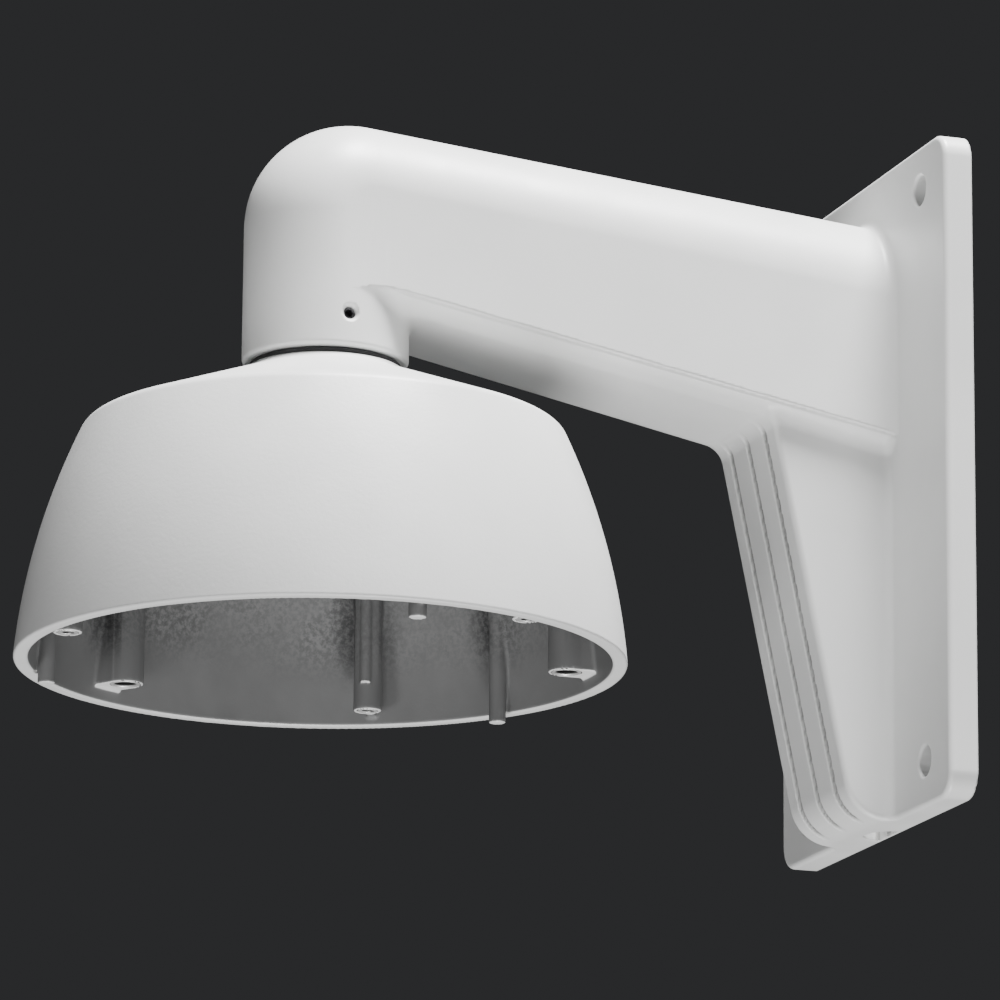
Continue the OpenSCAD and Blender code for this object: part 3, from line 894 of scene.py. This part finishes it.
def rubber(name):
    make = Nodes(name)
    bloom = make.sweep(make.noise(9, 4), 0.4, 0.75, 0.0, 0.5)
    colour = make.mix(bloom, (0.022, 0.022, 0.023), (0.055, 0.055, 0.056))
    edge = make.sweep(make.attribute("edge"), 0.2, 0.8, 0.0, 0.4)
    colour = make.mix(edge, colour, (0.085, 0.085, 0.087))
    rough = make.sweep(make.noise(4, 3), 0.3, 0.7, 0.62, 0.8)
    return make.finish(colour, rough, make.bump(make.noise(0.5, 2), 0.02, 0.6))


def zinc(name, tone, squash):
    """Turned and zinc plated steel: fine tool marks round the part, a faint blue-grey bloom,
    and edges rubbed bright."""
    make = Nodes(name)
    marks = make.noise(0.35, 2, 0.6, make.stretch(make.place(), squash))
    bloom = make.sweep(make.noise(6, 4), 0.35, 0.7)
    colour = make.mix(bloom, tone, tuple(0.86 * c for c in tone))
    # painted shade: darker in the inward corners and thread roots
    corner = make.sweep(make.attribute("corner"), 0.15, 0.7, 0.0, 0.6)
    colour = make.mix(corner, colour, (0.2, 0.19, 0.18))
    edge = make.sweep(make.attribute("edge"), 0.15, 0.7, 0.0, 0.6)
    colour = make.mix(edge, colour, (0.86, 0.86, 0.87))
    rough = make.sweep(marks, 0.3, 0.7, 0.26, 0.42)
    return make.finish(colour, rough, make.bump(marks, 0.01, 0.5), metallic=1.0)


def turned_insert(name):
    """Bare turned metal with a bright end face, darkened by painted shade down in the bore."""
    make = Nodes(name)
    marks = make.noise(0.3, 2, 0.6, make.stretch(make.place(), (1, 1, 8)))
    colour = make.mix(make.sweep(marks, 0.3, 0.7), (0.70, 0.70, 0.69), (0.60, 0.60, 0.60))
    # painted shade: near black further down the bore
    colour = make.mix(make.sweep(make.attribute("depth"), 0.15, 0.8), colour, (0.03, 0.03, 0.03))
    rough = make.sweep(marks, 0.3, 0.7, 0.4, 0.55)
    return make.finish(colour, rough, make.bump(marks, 0.01, 0.5), metallic=0.7)


def black_oxide(name):
    make = Nodes(name)
    cloud = make.sweep(make.noise(1.5, 3), 0.35, 0.7)
    colour = make.mix(cloud, (0.03, 0.03, 0.032), (0.06, 0.06, 0.064))
    edge = make.sweep(make.attribute("edge"), 0.2, 0.8, 0.0, 0.5)
    colour = make.mix(edge, colour, (0.22, 0.22, 0.23))
    rough = make.sweep(make.noise(0.6, 2), 0.3, 0.7, 0.4, 0.55)
    return make.finish(colour, rough, make.bump(make.noise(0.3, 2), 0.008, 0.5), metallic=0.85)


def mark_inside(obj):
    """Tells each point of the cap how far in behind the outer skin it lies ("inside"), with the
    rim and the columns' ends left out, how high above the rim ("depth"), and how much painted
    shadow the columns cast beside it ("shade")."""
    x, y, z = points_of(obj)
    rho = length(x, y + head_reach)
    behind = -np.maximum(cap_side(rho, z), cap_top(rho, z)) - 1.5
    normals = slope(cap, np.stack((x, y, z), 1))
    looks_down = -normals[:, 2] / np.maximum(np.linalg.norm(normals, axis=1), 1e-6)
    end_face = np.where(z < rim_z + front_rib_lift + 1, looks_down, 0)
    shade = np.zeros(len(x))
    for angle, circle, r, end_z, _ in columns():
        out, across = turned(angle, x, y + head_reach)
        on_web = (np.abs(across) < 3) & (out > circle + r) & (np.abs(z - end_z) < 1)
        end_face = np.where(on_web & (r == thread_boss_r), 0, end_face)
        # painted shadow beside each column, stronger on the side where across is positive
        beside = np.abs(across) - r
        shadow = fade((9 - beside) / 8) * fade((rho - circle + 6) / 4) * (out > 0)
        shade = np.maximum(shade, shadow * (beside > -0.6) * (0.45 + 0.55 * (across > 0)))
    outside_collar = (rho > neck_r + 1.2) & (z > collar_z - 1)
    inside = np.minimum(behind, 3 * (0.75 - end_face))
    add_attribute(obj, "inside", np.where(outside_collar, -1, inside))
    add_attribute(obj, "depth", z - rim_z)
    add_attribute(obj, "shade", shade)


mark_inside(cap_casting)
steel = zinc("zinc_plated_steel", (0.60, 0.61, 0.63), (1, 1, 12))
bright_steel = turned_insert("bright_turned_steel")
nut_zinc = zinc("zinc_plated_nut", (0.56, 0.57, 0.59), (1, 1, 4))
black = rubber("black_rubber_moulded")
looks = {
    "neck_pipe": steel,
    "neck_nut": nut_zinc,
    "neck_rubber_washer": black,
    "neck_o_ring": black,
    "plate_gasket": black,
    "locking_screw": black_oxide("black_oxide_steel"),
    "anchor_pan_screw": steel,
    "anchor_plain_washer": steel,
}
for name, obj in small.items():
    obj.data.materials.append(looks.get(name, bright_steel))
casting.data.materials.append(bracket_coat("bracket_powder_coat"))
cap_casting.data.materials.append(cap_coat("cap_powder_coat"))

# ---------------------------------------------------------------- camera, stage and lights

camera_at = Vector((1.53384, -0.63781, -0.41478))
camera_azimuth, camera_elevation, camera_roll = 71.12, -14.12, 0.456


def aim():
    a, e, roll = (math.radians(v) for v in (camera_azimuth, camera_elevation, camera_roll))
    back = Vector((math.sin(a) * math.cos(e), -math.cos(a) * math.cos(e), math.sin(e)))
    right = Vector((math.cos(a), math.sin(a), 0))
    up = back.cross(right)
    across = right * math.cos(roll) + up * math.sin(roll)
    upward = up * math.cos(roll) - right * math.sin(roll)
    return Matrix((across, upward, back)).transposed().to_4x4()


lens = bpy.data.cameras.new("camera")
lens.sensor_width = 36
lens.lens = 223.5
lens.clip_start, lens.clip_end = 0.05, 50
view_point = bpy.data.objects.new("camera", lens)
bpy.context.scene.collection.objects.link(view_point)
view_point.matrix_world = Matrix.Translation(camera_at) @ aim()
bpy.context.scene.camera = view_point

floor_z = -2.4
floor_half = 6
lamps_aim_at = Vector((0, -0.11, 0))


def pale_floor():
    mesh = bpy.data.meshes.new("floor")
    corners = [(-1, -1), (1, -1), (1, 1), (-1, 1)]
    mesh.from_pydata([(a * floor_half, b * floor_half, floor_z) for a, b in corners], [],
                     [(0, 1, 2, 3)])
    make = Nodes("floor_pale")
    tone = make.mix(make.sweep(make.noise(60, 4), 0.3, 0.7), (0.66, 0.66, 0.65), (0.7, 0.7, 0.69))
    mesh.materials.append(make.finish(tone, 0.8))
    floor = bpy.data.objects.new("floor", mesh)
    bpy.context.scene.collection.objects.link(floor)


def studio_world(strength):
    world = bpy.data.worlds.new("studio")
    world.use_nodes = True
    background = world.node_tree.nodes["Background"]
    background.inputs["Color"].default_value = (0.93, 0.95, 1.0, 1)
    background.inputs["Strength"].default_value = strength
    bpy.context.scene.world = world


def soft_light(name, at, size, watts):
    data = bpy.data.lights.new(name, "AREA")
    data.shape = "DISK"
    data.size = size
    data.energy = watts
    lamp = bpy.data.objects.new(name, data)
    lamp.location = at
    lamp.rotation_mode = "QUATERNION"
    lamp.rotation_quaternion = (lamps_aim_at - Vector(at)).to_track_quat("-Z", "Y")
    lamp.visible_camera = False
    bpy.context.scene.collection.objects.link(lamp)


pale_floor()
studio_world(0.03)
soft_light("top", (0.35, 0.1, 1.37), 0.6, 120)
soft_light("key", (1.5, 0.3, 0.75), 0.5, 6)
soft_light("side", (1.0, -0.65, -0.7), 0.4, 4.8)
soft_light("front", (0.6, -1.1, -0.6), 0.4, 4.5)
soft_light("low", (0.25, -0.02, -1.0), 0.3, 9)
